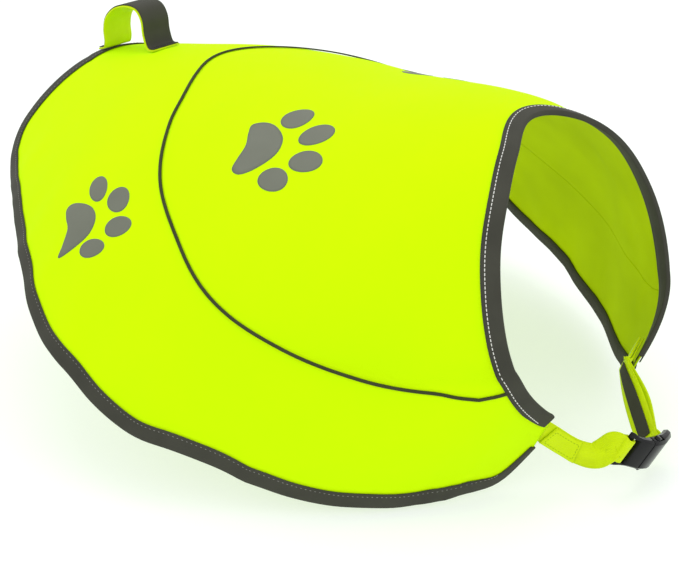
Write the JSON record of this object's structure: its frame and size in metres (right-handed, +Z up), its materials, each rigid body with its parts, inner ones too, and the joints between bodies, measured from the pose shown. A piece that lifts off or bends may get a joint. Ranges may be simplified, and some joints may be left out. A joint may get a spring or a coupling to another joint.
{
  "type": "dog safety vest",
  "caption": "Hollow, filled-out dog vest in high-visibility cloth with bound neck and hem, a lead loop over the tail end and a buckled chest strap.",
  "frame": {"origin": "inner face of the back on the ridge, where the wearer's back holds the vest up", "axes": "+X towards the head, +Y towards the wearer's left, +Z up"},
  "size_m": [0.5857, 0.5207, 0.2713],
  "materials": {
    "lime_cloth": "matte woven polyester",
    "grey_tape": "fine matte tape",
    "lime_webbing": "ribbed webbing",
    "black_plastic": "satin moulded"
  },
  "bodies": {
    "root": {"yoke_panel": "lime_cloth", "surround_panel": "lime_cloth", "seam_piping": "grey_tape", "neck_binding": "grey_tape", "hem_binding": "grey_tape", "loop_webbing": "lime_webbing", "loop_tape": "grey_tape", "near_strap": "lime_webbing", "near_strap_tail": "lime_webbing", "near_strap_stripe": "grey_tape", "far_strap": "lime_webbing", "far_strap_stripe": "grey_tape", "buckle_socket": "black_plastic", "buckle_plug": "black_plastic"}
  },
  "joints": []
}
